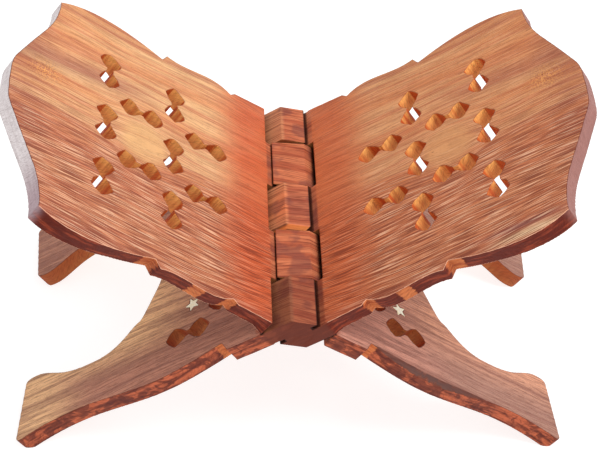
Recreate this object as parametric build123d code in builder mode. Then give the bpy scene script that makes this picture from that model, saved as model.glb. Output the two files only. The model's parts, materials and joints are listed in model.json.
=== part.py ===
from build123d import *
from math import cos, radians, sin, tan
import os

# A folding book stand made from one plank. A saw kerf splits the plank into two boards, which stay linked by
# five knuckles carved across the middle. Each board is a page rest above the hinge, and a pair of legs below
# it on the other side. The drawn state is fully open, with the feet on the ground plane Z = 0 and the hinge
# axis above the origin, along Y. All sizes are in millimetres and degrees.

# ---- driving dimensions: the plank and the hinge ----
opening_angle = 111.4  # between the two page rests, fully open
board_thickness = 12.0
kerf = 1.2  # saw cut between the two boards when they are folded flat
half_width = 100.0  # along the hinge, at the knuckles
right_shoulder = 14.4  # hinge axis to the top of the right board's knuckle facets, along the board
left_shoulder = 16.8  # the same on the left board, whose slits lie closer to the page rest
slit_depth = 5.0  # the kerf runs this far past the shoulder, into the knuckle
knuckle_gap = 0.8  # side clearance between two neighbouring knuckles
stop_gap = 0.1  # left between a page rest's end and the other board's leg, on the stop
knuckle_lines = (-100.0, -61.5, -18.5, 23.5, 65.5, 100.0)  # hand-marked, so not quite evenly spaced
right_crest = 2.4  # where the right board's knuckle facets meet its outer faces: a cut at 45 degrees
left_crest = -3.0  # the same on the left board, cut steeper, so that its facets lie nearly level when open
right_recess = 0.7  # chisel relief in the page face beside each knuckle of the right board
left_recess = 0.3  # the same on the left board
left_lip = 1.0  # blunted edge along the slit of each knuckle of the left board
worn_bevel = 3.0  # depth of the bevel chipped off the third knuckle's front end

# ---- driving dimensions: outline of the page rest, as distances across (from the middle) and along the board ----
page_end = 207.5  # top of the crowned end
page_tip = (95.0, 179.5)
crown_points = ((84.0, 180.3), (70.0, 183.6), (48.0, 193.4), (25.0, 203.8))
inner_notch = ((98.5, 43.5), (95.3, 47.0))
scallop_points = ((100.0, 69.0), (97.8, 88.0))
outer_notch = ((99.3, 98.5), (93.3, 102.0))
flare_points = ((98.8, 120.0), (102.4, 142.0), (100.7, 165.0))

# ---- driving dimensions: outline of the legs, measured the same way, down from the hinge axis ----
leg_notch = ((99.3, 43.5), (92.5, 47.0))
leg_side_points = ((95.5, 62.0), (99.0, 95.0), (92.8, 155.0), (95.0, 190.0))
foot_outer = (98.5, 205.5)
foot_inner = (48.5, 201.5)
arch_points = ((47.0, 194.0), (55.0, 171.0), (58.3, 153.0), (53.0, 126.0), (43.0, 113.3))
arch_top = 92.0
arch_crown_radius = 40.0
arch_crown_angle = 28.0  # the arch's crown is an arc this far to each side of the middle
foot_outer_round = 3.0
foot_inner_round = 4.0
foot_trim = 2.0  # depth of the flat that the ground cuts on each foot, at its inner corner

# ---- driving dimensions: pierced lattice and star inlays ----
piercing_length = 32.0
piercing_width = 15.0
piercing_shoulder = 9.5  # middle of the piercing to the widest part of each end
waist_width = 4.0
waist_length = 3.0
piercing_hollow = 0.7  # sag of each side, which curves inwards
page_pitch = 49.0  # spacing of the lattice cells in the page rests
page_lattice = (3.5, 116.0)  # centre of the page lattice's middle cell
leg_pitch = {"left": 47.0, "right": 45.5}  # the two pairs of legs were marked out by hand, and differ a little
leg_lattice = {"left": (0.0, 72.4), "right": (0.0, 77.1)}
star_centres = {"left": (48.1, 68.7), "right": (50.3, 73.7)}
star_radius = 5.6
star_inner_share = 0.45
star_thickness = 1.5
star_fit = 0.05  # pocket larger than the star all round

# ---- derived sizes ----
half_opening = opening_angle / 2
half_kerf = kerf / 2
outer_face = half_kerf + board_thickness
window_edge = outer_face * tan(radians(half_opening)) + stop_gap
hinge_height = foot_inner[1] * cos(radians(half_opening)) - foot_trim
star_turns = {"left": 180, "right": 0}
worn_end = knuckle_lines[2] + knuckle_gap / 2
worn_section = ((-outer_face, -window_edge), (-outer_face, right_crest), (-half_kerf, right_shoulder))


def board_plane(side, depth=0.0):
    """Plane of a board, through the hinge axis: x is along the hinge, y up the board, and z its thickness.

    side is 1 for the board whose page rest is on the right, and -1 for the other. depth moves the plane from
    the kerf's middle towards the page rest's outer face."""
    tilt = radians(half_opening)
    middle = Plane(origin=(0, 0, hinge_height), x_dir=(0, 1, 0), z_dir=(cos(tilt), 0, -side * sin(tilt)))
    return middle.offset(side * depth)


def knuckle_plane(side, y):
    """Plane across the hinge at y: x points to the page rest's outer face, and y up the board."""
    tilt = radians(half_opening)
    return Plane(origin=(0, y, hinge_height), x_dir=(side * cos(tilt), 0, -sin(tilt)), z_dir=(0, -side, 0))


def page_outline():
    """Page rest above the knuckle windows: notched sides that flare to two tips, and a crowned end."""
    with BuildSketch() as page:
        with BuildLine():
            Polyline((0, window_edge), (half_width, window_edge), *inner_notch)
            Spline(inner_notch[1], *scallop_points, outer_notch[0])
            Line(*outer_notch)
            Spline(outer_notch[1], *flare_points, page_tip)
            Spline(page_tip, *crown_points, (0, page_end), tangents=[(-1, 0), (-1, 0)])
            Line((0, page_end), (0, window_edge))
        make_face()
        mirror(about=Plane.YZ)
    return page.sketch


def below(point):
    """A leg outline's point, given as distances across and down, in the board's own plane."""
    return (point[0], -point[1])


def leg_outline():
    """Pair of legs below the knuckle windows: notched outer sides, splayed feet, and an arch between them."""
    crown = radians(arch_crown_angle)
    crown_start = (arch_crown_radius * sin(crown), arch_top + arch_crown_radius * (1 - cos(crown)))
    crown_direction = (-cos(crown), sin(crown))
    with BuildSketch() as legs:
        with BuildLine():
            Polyline((0, -window_edge), (half_width, -window_edge), *map(below, leg_notch))
            Spline(*map(below, (leg_notch[1], *leg_side_points, foot_outer)))
            Line(below(foot_outer), below(foot_inner))
            Spline(*map(below, (foot_inner, *arch_points, crown_start)), tangents=[(-0.3, 1), crown_direction])
            TangentArc(below(crown_start), (0, -arch_top), tangent=crown_direction)
            Line((0, -arch_top), (0, -window_edge))
        make_face()
        mirror(about=Plane.YZ)
        corners = legs.vertices().group_by(Axis.Y)
        fillet(corners[0], foot_outer_round)
        inner_corners = legs.vertices().filter_by(lambda v: abs(v.Y + foot_inner[1]) < 0.01)
        fillet(inner_corners, foot_inner_round)
    return legs.sketch


def piercing_outline():
    """Pierced opening: two pointed ends with hollow sides, joined by a narrow waist, along x."""
    tip = (piercing_length / 2, 0)
    wide = (piercing_shoulder, piercing_width / 2)
    waist = (waist_length / 2, waist_width / 2)
    with BuildSketch() as piercing:
        with BuildLine():
            SagittaArc(tip, wide, -piercing_hollow)
            SagittaArc(wide, waist, -piercing_hollow)
            Polyline(waist, (0, waist[1]), (0, 0), tip)
        make_face()
        mirror(about=Plane.XZ)
        mirror(about=Plane.YZ)
    return piercing.sketch


def lattice_spots(centre, pitch, across_rows, columns):
    """Places of the piercings around the square cells of a lattice, as (x, y, turn).

    across_rows are the heights of the piercings that run along the hinge, and columns, in cells from the
    centre, are the places of those that run up the board, level with the cell centres."""
    spots = [(centre[0] + step * pitch, centre[1] + row * pitch, 0) for row in across_rows for step in (-1, 0, 1)]
    spots += [(centre[0] + x * pitch, centre[1] + y * pitch, 90) for x, y in columns]
    return spots


def star_outline(radius, turn):
    """Five-pointed star with one point along y, turned by turn."""
    with BuildSketch() as star:
        with BuildLine():
            points = []
            for corner in range(10):
                reach = radius if corner % 2 == 0 else radius * star_inner_share
                angle = radians(90 + turn + 36 * corner)
                points.append((reach * cos(angle), reach * sin(angle)))
            Polyline(*points, close=True)
        make_face()
    return star.sketch


def knuckle_profile(crest, shoulder, recess, lip):
    """Half-turn symmetric section of a knuckle: a facet and a slit on each side of the hinge axis."""
    slope = (shoulder - crest) / board_thickness
    half = [
        (outer_face, window_edge),
        (outer_face, -crest),
        (half_kerf + lip, -shoulder + lip * slope),
        (half_kerf, -shoulder + lip * slope),
        (half_kerf, -shoulder + lip * slope + slit_depth),
        (-half_kerf, -shoulder + lip * slope + slit_depth),
        (-half_kerf - recess, -shoulder),
        (-half_kerf, -window_edge),
    ]
    points = half + [(-x, -y) for x, y in half]
    distinct = [point for index, point in enumerate(points) if point != points[index - 1]]
    with BuildSketch() as section:
        with BuildLine():
            Polyline(*distinct, close=True)
        make_face()
    return section.sketch


def bevel_outline():
    """Section of the cut that bevels an edge: x runs into the knuckle from its end, and y out of its facet."""
    with BuildSketch() as bevel:
        with BuildLine():
            Polyline((-1, -worn_bevel - 1), (-1, 1), (worn_bevel + 1, 1), close=True)
        make_face()
    return bevel.sketch


def make_board(side, spans, crest, shoulder, recess, lip):
    """One board, with its page rest, legs, knuckles, piercings and star pockets."""
    legs_side = "left" if side > 0 else "right"
    star_centre = star_centres[legs_side]
    page_spots = lattice_spots(page_lattice, page_pitch, (-0.5, 0.5), ((-0.5, 0), (0.5, 0), (-0.5, -1), (0.5, -1)))
    leg_spots = lattice_spots(leg_lattice[legs_side], leg_pitch[legs_side], (-0.5,), ((-1.5, 0), (1.5, 0)))
    with BuildPart() as board:
        with BuildSketch(board_plane(side, half_kerf)):
            add(page_outline())
        extrude(amount=side * board_thickness)
        with BuildSketch(board_plane(side, -half_kerf)):
            add(leg_outline())
        extrude(amount=-side * board_thickness)
        for near, far in spans:
            low = near + knuckle_gap / 2 if near > -half_width else near
            high = far - knuckle_gap / 2 if far < half_width else far
            with BuildSketch(knuckle_plane(side, low)):
                add(knuckle_profile(crest, shoulder, recess, lip))
            extrude(amount=-side * (high - low))
            if low == worn_end:
                end_plane = knuckle_plane(side, low)
                edge_points = [end_plane.from_local_coords(Vector(*point)) for point in worn_section]
                for start, end in zip(edge_points[:-1], edge_points[1:]):
                    with BuildSketch(Plane(origin=start, x_dir=(0, 1, 0), z_dir=end - start)):
                        add(bevel_outline())
                    extrude(amount=(end - start).length, mode=Mode.SUBTRACT)
        with BuildSketch(board_plane(side)):
            for x, y, turn in page_spots:
                with Locations((x, y)):
                    add(piercing_outline(), rotation=turn)
            for x, y, turn in leg_spots:
                with Locations((x, -y)):
                    add(piercing_outline(), rotation=turn)
        extrude(amount=2 * board_thickness, both=True, mode=Mode.SUBTRACT)
        for end in (-1, 1):
            with BuildSketch(board_plane(side, -outer_face)):
                with Locations((end * star_centre[0], -star_centre[1])):
                    add(star_outline(star_radius + star_fit, star_turns[legs_side]))
            extrude(amount=side * star_thickness, mode=Mode.SUBTRACT)
        split(bisect_by=Plane.XY, keep=Keep.TOP)
    return board


def make_star(side, end):
    """One star inlay, flush with the leg's outer face."""
    legs_side = "left" if side > 0 else "right"
    star_centre = star_centres[legs_side]
    with BuildPart() as star:
        with BuildSketch(board_plane(side, -outer_face)):
            with Locations((end * star_centre[0], -star_centre[1])):
                add(star_outline(star_radius, star_turns[legs_side]))
        extrude(amount=side * star_thickness)
    return star


def save(piece, name):
    """Labels a finished piece and writes it as its own STEP file."""
    piece.part.label = name
    export_step(piece.part, f"parts/{name}.step")


os.makedirs("parts", exist_ok=True)
spans = list(zip(knuckle_lines[:-1], knuckle_lines[1:]))

# The right board holds the first, third and fifth knuckles, and the left board the two between them.
right_page_board = make_board(1, spans[0::2], right_crest, right_shoulder, right_recess, 0.0)
left_page_board = make_board(-1, spans[1::2], left_crest, left_shoulder, left_recess, left_lip)
save(right_page_board, "right_page_board")
save(left_page_board, "left_page_board")

# The right page rest continues into the left legs, so the left stars belong to the right board.
for side, legs_side in ((1, "left"), (-1, "right")):
    for end, place in ((-1, "front"), (1, "rear")):
        save(make_star(side, end), f"star_{legs_side}_{place}")
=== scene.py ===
import json
import math

import bmesh
import bpy
import numpy as np
from mathutils import Matrix, Vector
from mathutils.noise import noise


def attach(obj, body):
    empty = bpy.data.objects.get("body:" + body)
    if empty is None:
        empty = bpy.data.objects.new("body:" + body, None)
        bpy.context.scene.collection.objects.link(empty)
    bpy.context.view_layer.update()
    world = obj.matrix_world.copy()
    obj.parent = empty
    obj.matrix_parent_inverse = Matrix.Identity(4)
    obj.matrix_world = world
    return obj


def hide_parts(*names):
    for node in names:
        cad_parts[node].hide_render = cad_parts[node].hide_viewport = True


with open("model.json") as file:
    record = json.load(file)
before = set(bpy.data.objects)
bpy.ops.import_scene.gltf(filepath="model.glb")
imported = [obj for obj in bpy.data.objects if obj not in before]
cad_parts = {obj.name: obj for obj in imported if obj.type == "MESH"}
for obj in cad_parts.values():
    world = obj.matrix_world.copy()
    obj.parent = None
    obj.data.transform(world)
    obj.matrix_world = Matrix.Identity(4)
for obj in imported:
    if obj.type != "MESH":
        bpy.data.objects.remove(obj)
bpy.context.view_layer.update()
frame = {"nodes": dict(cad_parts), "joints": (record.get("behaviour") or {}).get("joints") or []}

# A folding book stand carved from one rosewood plank, with four brass stars let into its legs. Both boards
# are dressed in "plank coordinates", in millimetres: x through the thickness from the middle of the saw
# kerf, v along the hinge, and z along the plank, positive on the page rests and negative on the legs. One
# solid wood texture in those coordinates runs through both boards, so the kerf's two faces match.

# ---- the boards' meshes ----
VOXEL = 0.5  # in millimetres
FACES_PER_BOARD = 190_000

# ---- sizes, in millimetres ----
INNER_FACE = 0.6  # places of the boards' faces through the plank
OUTER_FACE = 12.6
KNUCKLE_REACH = 18.5  # the knuckles end and the page rests and legs begin here
INSIDE = 86.0  # the piercings and the arch lie within this distance of the middle, and the sides outside it
WORN_CRESCENT = (48.0, 142.0)  # stretch of the right front leg's outer edge that is rubbed away
CRESCENT_WIDTH = 3.6
SLANTS = {-1: 4.5, 1: 2.5}  # of the page rests' front sides, for the left board and the right one
WANDER = 0.6  # how far the piercings' outlines stray from the drawn ones
WANDER_SCALE = 0.19  # wanderings per mm
MARK_DEPTH = 0.25  # of the chisel marks
MARK_SCALE = 0.22  # chisel marks per mm
EYE_Z = 113.0  # middle of the pale oval in the page rests' grain
EYE_REACH = (30.0, 26.0)  # across and along the grain
KNOT = (21.0, 184.0)  # small knot near the crowns, as v and z
KNOT_REACH = (9.0, 10.0)
NOTCH_RAMPS = ((71.0, 7.0), (105.0, 8.0))  # middle and half-width of the ramps cut at the page rests' notches
LOW_RAMP = (48.0, 6.0)  # of those that the legs have too

# ---- the camera, in degrees, metres and millimetres ----
CAMERA_TURN = (4.92, -43.81, 3.73)  # yaw, pitch and roll
CAMERA_FROM_HINGE = (-0.059, -0.7467, 0.7126)
CAMERA_LENS = 96.07

# ---- colours, in sRGB from 0 to 255 ----
PALETTE = {
    # page rests
    "tan": (232, 182, 130),
    "warm tan": (220, 148, 98),
    "tan stripe": (196, 112, 78),
    "front brown": (192, 112, 82),
    "eye": (224, 176, 118),
    "purple streak": (150, 88, 78),
    "hinge red": (206, 88, 46),
    "right rest": (196, 112, 66),
    "weathered border": (150, 84, 68),
    "sapwood": (240, 206, 160),
    "blue stain": (110, 84, 96),
    "dark line": (104, 44, 32),
    "rib": (122, 52, 38),
    "pale line": (255, 212, 176),
    "knot light": (252, 176, 92),
    "knot dark": (140, 74, 44),
    "pore": (96, 42, 28),
    # knuckles
    "knuckle red": (206, 118, 80),
    "knuckle brown": (176, 88, 58),
    "left facet": (206, 140, 98),
    "third knuckle right": (138, 72, 60),
    "third knuckle left": (240, 122, 72),
    "knuckle streak": (120, 52, 34),
    "knuckle line": (104, 44, 30),
    "knuckle patch": (116, 62, 56),
    "front knuckles": (96, 38, 30),
    "front left facet": (70, 20, 14),
    "raw chip": (236, 128, 60),
    # painted shade on the chipped left facet
    "shaded chip": (92, 42, 26),
    # outer faces
    "right leg root": (212, 150, 130),
    "right leg foot": (166, 122, 106),
    "left leg": (188, 130, 108),
    "right leg tan": (222, 158, 126),
    "left leg tan": (255, 204, 150),
    "leg stripe": (132, 84, 74),
    "leg streak": (104, 62, 52),
    "leg fibre": (92, 58, 50),
    "fibre": (110, 56, 40),
    # sawn and carved walls
    "page side dark": (96, 30, 17),
    "page side light": (150, 62, 36),
    "leg side dark": (112, 50, 36),
    "leg side light": (196, 100, 66),
    "leg side figure": (92, 40, 34),
    "cut shaded": (206, 98, 44),
    "cut lit": (255, 184, 102),
    "chisel mark": (176, 80, 34),
    # painted shade deep in the carved walls
    "cut deep shade": (190, 84, 36),
    "foot end": (170, 82, 48),
    "ramp light": (214, 122, 70),
    "ramp dark": (168, 78, 40),
    # painted shade on the legs' carved walls
    "leg cut shade": (150, 66, 34),
    "mauve": (190, 166, 172),
    # painted pale reflection on the left crown's end
    "crown glare": (238, 228, 228),
    "right crown": (156, 108, 100),
    "crown streak": (120, 84, 84),
    "wall fibre": (70, 26, 16),
    "knuckle end": (104, 48, 34),
    # edges, partly painted shade and a painted highlight
    "dark edge": (84, 34, 24),
    "worn and lit edge": (240, 180, 148),
    # painted shade on the rubbed crescent
    "crescent shade": (92, 66, 62),
    # painted shade for the crevices and slits beside the knuckles
    "painted_crevice_shade": (34, 8, 4),
    # brass, painted nearly white as a painted reflection of the bright surroundings
    "bright brass glare": (255, 254, 232),
    "dim brass glare": (255, 246, 206),
}

# ---- the hinge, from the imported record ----
fold = frame["joints"][0]
HINGE = Vector(fold["pos_m"])
HALF_OPENING = math.radians(fold["range_deg"][1]) / 2


# =====================================================================================================
# Shader nodes
# =====================================================================================================


class Nodes:
    """Short calls that add nodes to one material and return their output sockets."""

    def __init__(self, material):
        material.use_nodes = True
        self.tree = material.node_tree
        self.tree.nodes.clear()

    def add(self, kind, inputs=(), output=0, **settings):
        """Adds a node, makes its settings, fills its inputs, listed or named, and returns one output."""
        node = self.tree.nodes.new(kind)
        for name, value in settings.items():
            setattr(node, name, value)
        pairs = inputs.items() if isinstance(inputs, dict) else enumerate(inputs)
        for key, value in pairs:
            self.fill(node.inputs[key], value)
        return node.outputs[output] if node.outputs else None

    def fill(self, socket, value):
        """Links a socket to another's output, or sets its plain value."""
        if isinstance(value, bpy.types.NodeSocket):
            self.tree.links.new(value, socket)
        elif value is not None:
            socket.default_value = value

    def math(self, operation, *values):
        return self.add("ShaderNodeMath", values, operation=operation)

    def step(self, value, start, end):
        """Smooth change from 0 at start to 1 at end. start may be the higher of the two."""
        low, high, out = (start, end, (0.0, 1.0)) if start < end else (end, start, (1.0, 0.0))
        return self.add("ShaderNodeMapRange", (value, low, high, *out), interpolation_type="SMOOTHSTEP")

    def hump(self, value, middle, width):
        """1 at middle, falling smoothly to 0 at width on either side."""
        return self.step(self.size(self.minus(value, middle)), width, 0.0)

    def size(self, value):
        """The value without its sign."""
        return self.math("ABSOLUTE", value)

    def minus(self, first, second):
        return self.math("SUBTRACT", first, second)

    def over(self, first, second):
        return self.math("DIVIDE", first, second)

    def larger(self, first, second):
        return self.math("MAXIMUM", first, second)

    def times(self, *values):
        product = values[0]
        for value in values[1:]:
            product = self.math("MULTIPLY", product, value)
        return product

    def plus(self, *values):
        total = values[0]
        for value in values[1:]:
            total = self.math("ADD", total, value)
        return total

    def mix_value(self, share, first, second):
        """Mixes two plain numbers, by share from 0 to 1."""
        return self.plus(first, self.times(share, second - first))

    def vector(self, x, y, z):
        return self.add("ShaderNodeCombineXYZ", (x, y, z))

    def noise(self, x, y, z, detail=2.0, roughness=0.5, distortion=0.0):
        """Smooth noise from 0 to 1 of a point whose coordinates are already scaled."""
        inputs = {"Vector": self.vector(x, y, z), "Scale": 1.0, "Detail": detail, "Roughness": roughness,
                  "Distortion": distortion}
        return self.add("ShaderNodeTexNoise", inputs)

    def mix(self, share, first, second):
        """Mixes two colours, by share from 0 to 1."""
        node = self.tree.nodes.new("ShaderNodeMix")
        node.data_type = "RGBA"
        self.fill(node.inputs[0], share)
        self.fill(node.inputs[6], first)
        self.fill(node.inputs[7], second)
        return node.outputs[2]

    def tint(self, base, name, *shares):
        """Lays one of the palette's colours over a base, as strongly as the product of the shares."""
        return self.mix(self.times(*shares), base, colour(name))


def colour(name):
    """A colour of the palette, as linear RGBA."""
    linear = []
    for part in PALETTE[name]:
        share = part / 255
        linear.append(share / 12.92 if share <= 0.04045 else ((share + 0.055) / 1.055) ** 2.4)
    return (*linear, 1.0)


# =====================================================================================================
# Rosewood
# =====================================================================================================


def split_attribute(n, name):
    """The three parts of a vector stored on the mesh."""
    vector = n.add("ShaderNodeAttribute", output=1, attribute_name=name)
    node = n.tree.nodes.new("ShaderNodeSeparateXYZ")
    n.fill(node.inputs[0], vector)
    return tuple(node.outputs)


def ring_place(n, x, v, z):
    """Place across the grain, in mm, and the eye's strength.

    The grain is nearly straight along the plank, and parts round a pale eye in the page rest."""
    sway = n.minus(n.noise(n.times(v, 0.010), n.times(z, 0.006), n.times(x, 0.02), detail=1.0), 0.5)
    ripple = n.minus(n.noise(n.times(v, 0.06), n.times(z, 0.022), n.times(x, 0.04)), 0.5)
    straight = n.plus(v, n.times(x, 0.2), n.times(sway, 22.0), n.times(ripple, 2.6))
    along = n.over(n.minus(z, EYE_Z), EYE_REACH[1])
    reach = n.over(straight, EYE_REACH[0])
    lens = n.math("EXPONENT", n.times(n.plus(n.times(along, along), n.times(reach, reach)), -1.0))
    side = n.over(straight, n.plus(n.size(straight), 5.0))
    return n.minus(straight, n.times(lens, side, 8.0)), lens


def grain(n, ring, x, z, fineness, stretch, **settings):
    """Noise drawn out along the plank. fineness and stretch are its scale across and along it, per mm."""
    return n.noise(n.times(ring, fineness), n.times(z, stretch), n.times(x, fineness * 0.08), **settings)


def page_colour(n, x, v, z, length, bands, stripes, eye):
    """The sawn inner faces: tan at the back, browner in front, orange-red towards the hinge."""
    light = n.mix(n.step(bands, 0.35, 0.65), colour("tan"), colour("warm tan"))
    light = n.tint(light, "tan stripe", n.step(stripes, 0.45, 0.62), 0.55)
    front = n.step(v, 24.0, -40.0)
    light = n.tint(light, "front brown", front, 0.7)
    light = n.tint(light, "eye", eye, 0.6)
    purple_line = n.plus(v, n.times(length, 0.16))
    purple = n.times(n.hump(purple_line, 64.0, 14.0), n.step(length, 90.0, 150.0))
    light = n.tint(light, "purple streak", purple, 0.55)
    # redder towards the hinge
    hinge_red_edge = n.plus(length, n.times(n.minus(stripes, 0.5), 26.0))
    light = n.tint(light, "hinge red", n.step(hinge_red_edge, 66.0, 34.0), 0.82)
    # the right page rest is tinted darker, partly its own tone and partly painted shade
    light = n.tint(light, "right rest", n.step(x, -0.3, 0.3), 0.42)
    border = n.larger(n.step(n.size(v), 84.0, 99.0), n.step(length, 172.0, 198.0))
    light = n.tint(light, "weathered border", border, n.step(stripes, 0.3, 0.6), 0.5)
    sapwood = n.times(n.step(x, 0.2, 0.4), n.hump(v, -98.0, 5.0), n.hump(z, 154.0, 34.0))
    light = n.tint(light, "sapwood", sapwood, 0.8)
    blue = n.times(n.step(x, 0.2, 0.4), n.hump(v, -91.0, 4.0), n.hump(z, 150.0, 40.0))
    return n.tint(light, "blue stain", blue, 0.55), front


def knuckle_colour(n, x, v, z, stripes, streaks, lines, facing_v):
    """Knuckles: red-brown streaks across the hinge, purple-brown patches, and darker at the front."""
    patches = n.noise(n.times(z, 0.08), n.times(v, 0.07), n.times(x, 0.06), detail=2.0)
    red = n.mix(n.step(stripes, 0.42, 0.6), colour("knuckle red"), colour("knuckle brown"))
    left_facet = n.step(x, -10.5, -12.2)
    red = n.tint(red, "left facet", left_facet, 0.6)
    third = n.hump(v, 2.5, 24.0)
    third_colour = n.mix(left_facet, colour("third knuckle right"), colour("third knuckle left"))
    red = n.mix(n.times(third, 0.5), red, third_colour)
    red = n.tint(red, "knuckle streak", n.step(streaks, 0.5, 0.64), 0.45)
    red = n.tint(red, "knuckle line", n.step(lines, 0.5, 0.66), 0.4)
    red = n.tint(red, "knuckle patch", n.step(patches, 0.5, 0.64), 0.55)
    front = n.step(v, -45.0, -70.0)
    red = n.tint(red, "front knuckles", front, 0.5)
    red = n.tint(red, "front left facet", front, left_facet, 0.3)
    # the third knuckle's front edge is chipped: raw orange on the right facet, and painted shade on the left
    # one
    chipped = n.times(n.hump(v, -16.5, 3.4), n.hump(facing_v, -0.68, 0.3))
    chip_colour = n.mix(left_facet, colour("raw chip"), colour("shaded chip"))
    return n.mix(n.times(chipped, 0.9), red, chip_colour)


def outer_colour(n, x, v, length, stripes, streaks, fibres):
    """The plank's outer faces, as on top of the legs: grey-brown, tan towards the arch and front feet."""
    left = n.step(x, 1.0, -1.0)
    inner_side = n.times(n.step(n.size(v), 84.0, 44.0), n.step(length, 46.0, 116.0))
    foot = n.times(n.step(length, 140.0, 190.0), left)
    tan_share = n.times(n.larger(inner_side, n.times(foot, 0.8)), n.step(v, 40.0, -10.0))
    right_grey = n.mix(n.step(length, 60.0, 130.0), colour("right leg root"), colour("right leg foot"))
    grey = n.mix(left, right_grey, colour("left leg"))
    brown = n.mix(left, colour("right leg tan"), colour("left leg tan"))
    grey = n.mix(tan_share, grey, brown)
    grey = n.tint(grey, "leg stripe", n.step(stripes, 0.46, 0.6), 0.45)
    grey = n.tint(grey, "leg streak", n.step(streaks, 0.5, 0.62), 0.38)
    return n.tint(grey, "leg fibre", n.step(fibres, 0.48, 0.7), 0.6)


def wall_colour(n, x, v, z, depth, facing_v, facing_z):
    """Sawn and carved walls: dark red-brown sides, and orange piercings, arches and notches."""
    side = n.size(v)
    length = n.size(z)
    streak = n.noise(n.times(z, 0.05), n.times(x, 0.35), n.times(v, 0.05), detail=4.0, roughness=0.65)
    figure = n.noise(n.times(z, 0.09), n.times(x, 0.12), n.times(v, 0.09), detail=2.0, distortion=1.2)
    page_side = n.mix(n.step(streak, 0.46, 0.68), colour("page side dark"), colour("page side light"))
    leg_side = n.mix(n.step(streak, 0.36, 0.62), colour("leg side dark"), colour("leg side light"))
    leg_side = n.tint(leg_side, "leg side figure", n.step(figure, 0.48, 0.56), 0.7)
    plain = n.mix(n.step(z, 5.0, -20.0), page_side, leg_side)

    # the chisel leaves the notches' ramps, the piercings and the arch paler and rougher than the sawn sides
    chisel = n.noise(n.times(z, 0.35), n.times(v, 0.35), n.times(x, 0.05), detail=4.0, roughness=0.65)
    # walls facing the front are painted lighter, as if lit, and the others darker, as if shaded
    lit = n.step(n.plus(n.times(facing_v, -0.9), n.times(facing_z, 0.25)), 0.6, 0.86)
    cut = n.mix(lit, colour("cut shaded"), colour("cut lit"))
    cut = n.tint(cut, "chisel mark", n.step(chisel, 0.42, 0.68), 0.5)
    # painted shade, darker deeper into the walls
    cut = n.tint(cut, "cut deep shade", n.step(depth, 2.0, 9.0), 0.45)
    cut = n.tint(cut, "foot end", n.step(z, -150.0, -190.0), 0.5)
    wander = n.plus(length, n.times(n.minus(streak, 0.5), 6.0))
    ramps = n.step(n.hump(wander, *LOW_RAMP), 0.2, 0.4)
    for middle, width in NOTCH_RAMPS:
        patch = n.step(n.hump(wander, middle, width), 0.2, 0.4)
        ramps = n.larger(ramps, n.times(patch, n.step(z, 0.0, 10.0), 0.9))
    ramp_colour = n.mix(n.step(streak, 0.4, 0.66), colour("ramp light"), colour("ramp dark"))
    # painted shade on the legs' carved walls
    cut = n.tint(cut, "leg cut shade", n.step(z, 0.0, -20.0), 0.75)
    wood = n.mix(n.step(side, INSIDE + 2, INSIDE - 2), n.mix(ramps, plain, ramp_colour), cut)

    # ends of the crowns: mauve-grey, partly a painted sheen, with a painted pale reflection at the rear of
    # the left one
    crown_end = n.times(n.step(z, 170.0, 178.0), n.step(side, 98.0, 93.0))
    mauve = n.mix(n.step(v, -86.0, -50.0), colour("mauve"), colour("crown glare"))
    mauve = n.tint(mauve, "right crown", n.step(x, -0.4, 0.4))
    mauve = n.tint(mauve, "crown streak", n.step(streak, 0.4, 0.7), 0.22)
    return n.mix(crown_end, wood, mauve)


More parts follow.
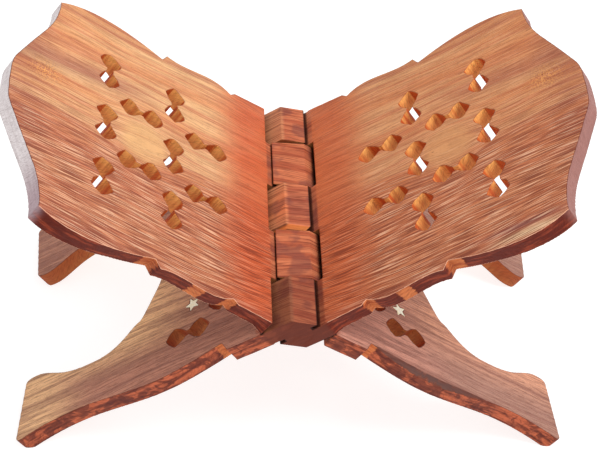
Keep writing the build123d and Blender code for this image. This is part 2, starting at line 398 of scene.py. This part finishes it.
def rosewood():
    """Oiled rosewood: the boards' only wood."""
    material = bpy.data.materials.new("rosewood")
    n = Nodes(material)
    x, v, z = split_attribute(n, "plank")
    facing_x, facing_v, facing_z = split_attribute(n, "facing")
    length = n.size(z)
    depth = n.size(x)
    ring, lens = ring_place(n, x, v, z)
    knot_v = n.over(n.minus(v, KNOT[0]), KNOT_REACH[0])
    knot_z = n.over(n.minus(z, KNOT[1]), KNOT_REACH[1])
    knot = n.math("EXPONENT", n.times(n.plus(n.times(knot_v, knot_v), n.times(knot_z, knot_z)), -1.0))

    # growth rings and fibres, from broad bands to pores
    bands = grain(n, ring, x, z, 0.05, 0.004, detail=1.0)
    stripes = grain(n, ring, x, z, 0.22, 0.009, detail=2.0)
    streaks = grain(n, ring, x, z, 0.75, 0.024, detail=2.0, roughness=0.6)
    lines = grain(n, ring, x, z, 1.5, 0.04, detail=1.0)
    fibres = grain(n, ring, x, z, 3.4, 0.16, detail=2.0, roughness=0.6)
    pores = grain(n, ring, x, z, 4.6, 0.22)

    eye = n.times(n.step(lens, 0.5, 0.85), n.step(z, 60.0, 90.0))
    page, front = page_colour(n, x, v, z, length, bands, stripes, eye)
    knuckle = n.step(length, KNUCKLE_REACH + 1, KNUCKLE_REACH - 1)
    calm = n.minus(1.0, n.times(eye, 0.55))
    dark_lines = n.larger(n.step(lines, 0.5, 0.62), n.times(n.step(streaks, 0.5, 0.64), 0.8))
    share = n.times(dark_lines, n.plus(0.34, n.times(front, 0.36)), calm)
    page = n.tint(page, "dark line", share)
    ribs = n.math("SINE", n.plus(n.times(ring, 4.4), n.times(streaks, 8.0)))
    page = n.tint(page, "rib", n.step(ribs, 0.1, 0.9), front, calm, 0.36)
    away = n.plus(0.35, n.times(n.step(length, 34.0, 64.0), 0.65))
    pale_share = n.times(n.step(lines, 0.45, 0.34), n.plus(0.12, n.times(front, 0.34)), calm, away)
    page = n.tint(page, "pale line", pale_share)
    crackle = n.noise(n.times(v, 0.9), n.times(z, 0.9), n.times(x, 0.3), detail=3.0, roughness=0.7)
    page = n.tint(page, "knot light", knot, n.step(crackle, 0.48, 0.6), 0.6)
    page = n.tint(page, "knot dark", knot, n.step(crackle, 0.46, 0.36), 0.6)
    page = n.tint(page, "pore", n.step(pores, 0.6, 0.72), 0.5)
    wood = n.mix(knuckle, page, knuckle_colour(n, x, v, z, stripes, streaks, lines, facing_v))

    outer = n.times(n.step(depth, 7.0, 11.5), n.step(length, 18.0, 24.0))
    wood = n.mix(n.times(outer, 0.95), wood, outer_colour(n, x, v, length, stripes, streaks, fibres))
    wood = n.tint(wood, "fibre", n.step(fibres, 0.5, 0.75), 0.3)
    crosswise = n.step(n.size(facing_x), 0.72, 0.4)
    knuckle_end = n.step(n.size(facing_v), 0.6, 0.8)
    wall = n.times(crosswise, n.larger(n.step(length, KNUCKLE_REACH - 1, KNUCKLE_REACH + 1), knuckle_end))
    walls = wall_colour(n, x, v, z, depth, facing_v, facing_z)
    walls = n.tint(walls, "wall fibre", n.step(fibres, 0.45, 0.7), 0.35)
    walls = n.tint(walls, "knuckle end", knuckle_end, n.step(length, 20.0, 17.0), 0.8)
    wood = n.mix(wall, wood, walls)

    # edges: pale along the front, partly rubbed and partly a painted highlight, and dark along the rest,
    # partly stain and partly painted shade
    rim = n.times(n.step(n.size(facing_x), 0.97, 0.86), n.step(n.size(facing_x), 0.4, 0.6))
    rim = n.times(rim, n.step(length, 19.0, 21.0))
    front_wear_and_light = n.times(n.step(facing_v, -0.15, -0.35), n.step(z, -5.0, 5.0), n.step(n.size(v), 82.0, 86.0))
    rim_colour = n.mix(front_wear_and_light, colour("dark edge"), colour("worn and lit edge"))
    pierced = n.times(n.step(n.size(v), INSIDE, INSIDE - 4), n.step(z, 0.0, 10.0), n.step(z, 172.0, 166.0))
    wood = n.mix(n.times(rim, n.mix_value(pierced, 0.75, 0.3)), wood, rim_colour)
    # painted shade on the crescent rubbed off the right front leg's outer edge
    leg_edge = n.times(n.step(x, 0.0, 1.0), n.step(v, -78.0, -84.0), n.hump(z, -95.0, 54.0))
    crescent = n.times(leg_edge, n.hump(n.size(facing_x), 0.7, 0.2))
    wood = n.tint(wood, "crescent shade", crescent, 0.8)

    # painted shade in the deep corners beside the knuckles, in the slits between them and the page rests, and
    # on the page rests' ends beside them
    near_end = n.mix_value(n.step(x, -1.0, 1.0), 15.5, 8.0)
    crevice = n.times(n.step(depth, 11.8, 12.4), n.step(n.minus(length, near_end), 0.0, 2.5),
                      n.step(length, 20.0, 18.8))
    rest_end = n.times(n.step(n.size(facing_z), 0.7, 0.9), n.hump(z, 18.6, 1.0))
    slit = n.times(n.step(depth, 1.7, 1.1), n.step(length, 15.2, 14.2), n.step(length, 8.6, 9.2))
    painted_crevice_shade = n.larger(n.larger(crevice, rest_end), slit)
    wood = n.tint(wood, "painted_crevice_shade", painted_crevice_shade, 0.92)

    rough = n.plus(0.42, n.times(share, 0.12), n.times(fibres, 0.08), n.times(wall, 0.12))
    height = n.plus(n.times(dark_lines, -0.5), n.times(fibres, -0.4), n.times(pores, -0.3),
                    n.times(ribs, -0.15))
    bump = n.add("ShaderNodeBump", {"Height": height, "Strength": 0.5, "Distance": 0.0003})
    shader = n.add("ShaderNodeBsdfPrincipled", {"Base Color": wood, "Roughness": rough, "Normal": bump,
                                                "Specular IOR Level": 0.14})
    n.add("ShaderNodeOutputMaterial", {"Surface": shader})
    return material


# =====================================================================================================
# Brass
# =====================================================================================================


def brass():
    """Polished brass, lightly brushed, its colour painted nearly white as a painted reflection of the bright
    surroundings.
    """
    material = bpy.data.materials.new("brass")
    n = Nodes(material)
    x, v, z = split_attribute(n, "plank")
    brushed = n.noise(n.times(v, 6.0), n.times(z, 0.6), n.times(x, 6.0), detail=3.0)
    tarnish = n.noise(n.times(v, 0.35), n.times(z, 0.35), n.times(x, 0.35), detail=2.0)
    # both tones are painted nearly white, standing in for the brass's reflection of the bright surroundings
    tone = n.mix(n.step(tarnish, 0.4, 0.7), colour("bright brass glare"), colour("dim brass glare"))
    rough = n.plus(0.22, n.times(brushed, 0.18))
    bump = n.add("ShaderNodeBump", {"Height": brushed, "Strength": 0.15, "Distance": 0.00005})
    shader = n.add("ShaderNodeBsdfPrincipled", {"Base Color": tone, "Metallic": 0.05, "Roughness": rough,
                                                "Normal": bump})
    n.add("ShaderNodeOutputMaterial", {"Surface": shader})
    return material


# =====================================================================================================
# Pieces
# =====================================================================================================


def to_plank(side):
    """Matrix from the open stand to plank coordinates, in metres.

    side is 1 for the board with the right page rest, and -1 for the other one."""
    return Matrix.Rotation(-side * HALF_OPENING, 4, "Y") @ Matrix.Translation(-HINGE)


def copy_of(node, name):
    """A new object with a CAD node's mesh, its doubled points joined."""
    mesh = frame["nodes"][node].data.copy()
    mesh.name = name
    mesh.materials.clear()
    shape = bmesh.new()
    shape.from_mesh(mesh)
    bmesh.ops.remove_doubles(shape, verts=shape.verts, dist=1e-6)
    shape.to_mesh(mesh)
    shape.free()
    piece = bpy.data.objects.new(name, mesh)
    bpy.context.scene.collection.objects.link(piece)
    return piece


def apply_modifiers(piece):
    """Replaces a piece's mesh with what its modifiers make of it."""
    graph = bpy.context.evaluated_depsgraph_get()
    old = piece.data
    piece.data = bpy.data.meshes.new_from_object(piece.evaluated_get(graph))
    piece.modifiers.clear()
    bpy.data.meshes.remove(old)


def positions(mesh):
    """The mesh's points as an array."""
    points = np.empty(len(mesh.vertices) * 3)
    mesh.vertices.foreach_get("co", points)
    return points.reshape(-1, 3)


def move_points(mesh, points):
    mesh.vertices.foreach_set("co", points.ravel())
    mesh.update()


def rub_edge(mesh):
    """Rubs a long crescent off the outer edge of the right front leg. The mesh is in plank coordinates."""
    points = positions(mesh)
    x, v, z = points.T * 1000
    start, end = WORN_CRESCENT
    leg = (x > 0) & (v < -60) & (z < -start) & (z > -end)
    bins = np.clip((-z - start).astype(int), 0, int(end - start))
    side = np.zeros(int(end - start) + 1)
    np.maximum.at(side, bins[leg], -v[leg])
    width = CRESCENT_WIDTH * np.sin(np.pi * np.clip((-z - start) / (end - start), 0, 1)) ** 0.7
    excess = np.where(leg, (x - OUTER_FACE) + (-v - side[bins]) + width, 0)
    excess = np.clip(excess, 0, CRESCENT_WIDTH) / 2000
    points[:, 0] -= excess
    points[:, 1] += excess
    move_points(mesh, points)


def wander_piercings(mesh):
    """Lets the piercings' outlines stray as a hand-held saw does, clear of the outer edges and the stars."""
    points = positions(mesh)
    x, v, z = points.T * 1000
    rests = np.clip((z - 60.0) / 10.0, 0, 1) * np.clip((170.0 - z) / 10.0, 0, 1)
    legs = np.clip((-z - 22.0) / 6.0, 0, 1) * np.clip((60.0 + z) / 5.0, 0, 1)
    inside = np.clip((INSIDE - np.abs(v)) / 6.0, 0, 1) * np.maximum(rests, legs)
    moved = np.flatnonzero(inside)
    spread = points[moved] * (60, 1000, 1000) * WANDER_SCALE
    for axis, start in ((1, 0.0), (2, 40.0)):
        stray = np.array([noise(Vector(point)) for point in spread + start])
        points[moved, axis] += np.clip(stray * 1.6, -1, 1) * inside[moved] * WANDER / 1000
    move_points(mesh, points)


def slant_front(mesh, slant):
    """Slants the page rest's front side inwards by slant, in mm, at its outer face, as the carver left it."""
    points = positions(mesh)
    x, v, z = points.T * 1000
    depth = np.clip((np.abs(x) - INNER_FACE) / (OUTER_FACE - INNER_FACE), 0, 1)
    near_front = np.clip((-v - 78.0) / 14.0, 0, 1)
    along = np.clip((z - 19.0) / 6.0, 0, 1) * np.clip((172.0 - z) / 45.0, 0, 1)
    points[:, 1] += slant / 1000 * depth * near_front * along
    move_points(mesh, points)


def carve_walls(mesh):
    """Leaves shallow chisel marks on the sawn and carved walls, cutting into the wood only."""
    points = positions(mesh)
    normals = np.empty(points.size)
    mesh.vertices.foreach_get("normal", normals)
    normals = normals.reshape(-1, 3)
    walls = np.flatnonzero((np.abs(normals[:, 0]) < 0.35) & (np.abs(points[:, 2]) > 0.02))
    marks = np.array([noise(Vector(point) * MARK_SCALE) for point in points[walls] * (150, 1000, 1000)])
    points[walls] -= normals[walls] * (0.5 + np.clip(marks, -0.5, 0.5))[:, None] * MARK_DEPTH / 1000
    move_points(mesh, points)


def store_plank(mesh):
    """Stores each point's plank coordinates, in mm, and the way it faces. The mesh is in that frame."""
    plank = mesh.attributes.new("plank", "FLOAT_VECTOR", "POINT")
    plank.data.foreach_set("vector", (positions(mesh) * 1000).ravel())
    facing = mesh.attributes.new("facing", "FLOAT_VECTOR", "POINT")
    normals = np.empty(len(mesh.vertices) * 3)
    mesh.vertices.foreach_get("normal", normals)
    facing.data.foreach_set("vector", normals)


def make_board(node, name, side, body, wood):
    """A board with every edge eased as on a hand-carved one, in place of its CAD node."""
    piece = copy_of(node, name)
    piece.data.transform(to_plank(side))
    remesh = piece.modifiers.new("remesh", "REMESH")
    remesh.mode = "VOXEL"
    remesh.voxel_size = VOXEL / 1000
    ease = piece.modifiers.new("ease", "SMOOTH")
    ease.factor = 0.5
    ease.iterations = 2
    apply_modifiers(piece)
    wander_piercings(piece.data)
    carve_walls(piece.data)
    slant_front(piece.data, SLANTS[side])
    if side < 0:
        rub_edge(piece.data)
    faces = sum(len(polygon.vertices) - 2 for polygon in piece.data.polygons)
    thin = piece.modifiers.new("thin", "DECIMATE")
    thin.ratio = min(1.0, FACES_PER_BOARD / faces)
    apply_modifiers(piece)
    store_plank(piece.data)
    piece.data.transform(to_plank(side).inverted())
    piece.data.shade_smooth()
    weighted = piece.modifiers.new("weighted", "WEIGHTED_NORMAL")
    weighted.weight = 80
    apply_modifiers(piece)
    piece.data.materials.append(wood)
    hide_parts(node)
    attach(piece, body)


def make_star(node, name, side, body, metal):
    """A brass star with its edges eased, in place of its CAD node."""
    piece = copy_of(node, name)
    piece.data.transform(to_plank(side))
    shape = bmesh.new()
    shape.from_mesh(piece.data)
    bmesh.ops.dissolve_limit(shape, angle_limit=math.radians(1), verts=shape.verts, edges=shape.edges)
    bmesh.ops.bevel(shape, geom=list(shape.edges), offset=0.00018, segments=2, profile=0.5, affect="EDGES")
    bmesh.ops.triangulate(shape, faces=shape.faces)
    shape.to_mesh(piece.data)
    shape.free()
    store_plank(piece.data)
    piece.data.transform(to_plank(side).inverted())
    piece.data.materials.append(metal)
    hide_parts(node)
    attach(piece, body)


wood = rosewood()
metal = brass()
make_board("right_page_board", "carved_right_board", 1, "right_board", wood)
make_board("left_page_board", "carved_left_board", -1, "left_board", wood)
for legs, side, body in (("left", 1, "right_board"), ("right", -1, "left_board")):
    for place in ("front", "rear"):
        make_star(f"star_{legs}_{place}", f"inlaid_star_{legs}_{place}", side, body, metal)


# =====================================================================================================
# Studio
# =====================================================================================================


def make_floor():
    """Plain pale floor, wide enough to fill every view."""
    half = 60.0
    mesh = bpy.data.meshes.new("floor")
    corners = [(-half, -half, 0), (half, -half, 0), (half, half, 0), (-half, half, 0)]
    mesh.from_pydata(corners, [], [(0, 1, 2, 3)])
    floor = bpy.data.objects.new("floor", mesh)
    bpy.context.scene.collection.objects.link(floor)
    material = bpy.data.materials.new("floor")
    n = Nodes(material)
    shader = n.add("ShaderNodeBsdfPrincipled", {"Base Color": (0.36, 0.36, 0.36, 1), "Roughness": 0.9,
                                                "Specular IOR Level": 0.1, "Emission Color": (1, 1, 1, 1),
                                                "Emission Strength": 0.8})
    n.add("ShaderNodeOutputMaterial", {"Surface": shader})
    mesh.materials.append(material)


def make_light(name, place, size, power, target=(0, 0, 0.1)):
    """Soft area light aimed at the stand."""
    data = bpy.data.lights.new(name, "AREA")
    data.size = size
    data.energy = power
    lamp = bpy.data.objects.new(name, data)
    lamp.location = place
    lamp.rotation_euler = (Vector(target) - Vector(place)).to_track_quat("-Z", "Y").to_euler()
    bpy.context.scene.collection.objects.link(lamp)


def make_world(strength):
    world = bpy.data.worlds.new("studio")
    world.use_nodes = True
    background = world.node_tree.nodes["Background"]
    background.inputs["Color"].default_value = (1.0, 1.0, 1.0, 1.0)
    background.inputs["Strength"].default_value = strength
    bpy.context.scene.world = world


def make_camera():
    """Camera above the front edge, a little left of the middle, looking down into the open stand."""
    yaw, pitch, roll = map(math.radians, CAMERA_TURN)
    ahead = Vector((math.sin(yaw) * math.cos(pitch), math.cos(yaw) * math.cos(pitch), math.sin(pitch)))
    level = Vector((math.cos(yaw), -math.sin(yaw), 0))
    over = level.cross(ahead)
    right = level * math.cos(roll) + over * math.sin(roll)
    up = over * math.cos(roll) - level * math.sin(roll)
    data = bpy.data.cameras.new("camera")
    data.lens = CAMERA_LENS
    data.sensor_width = 36.0
    camera = bpy.data.objects.new("camera", data)
    turn = Matrix((right, up, -ahead)).transposed().to_4x4()
    camera.matrix_world = Matrix.Translation(HINGE + Vector(CAMERA_FROM_HINGE)) @ turn
    bpy.context.scene.collection.objects.link(camera)
    bpy.context.scene.camera = camera


make_floor()
make_world(0.74)
make_light("overhead", (1.3, -0.4, 2.5), 1.4, 50.0)
make_camera()
bpy.context.scene.view_settings.view_transform = "Standard"
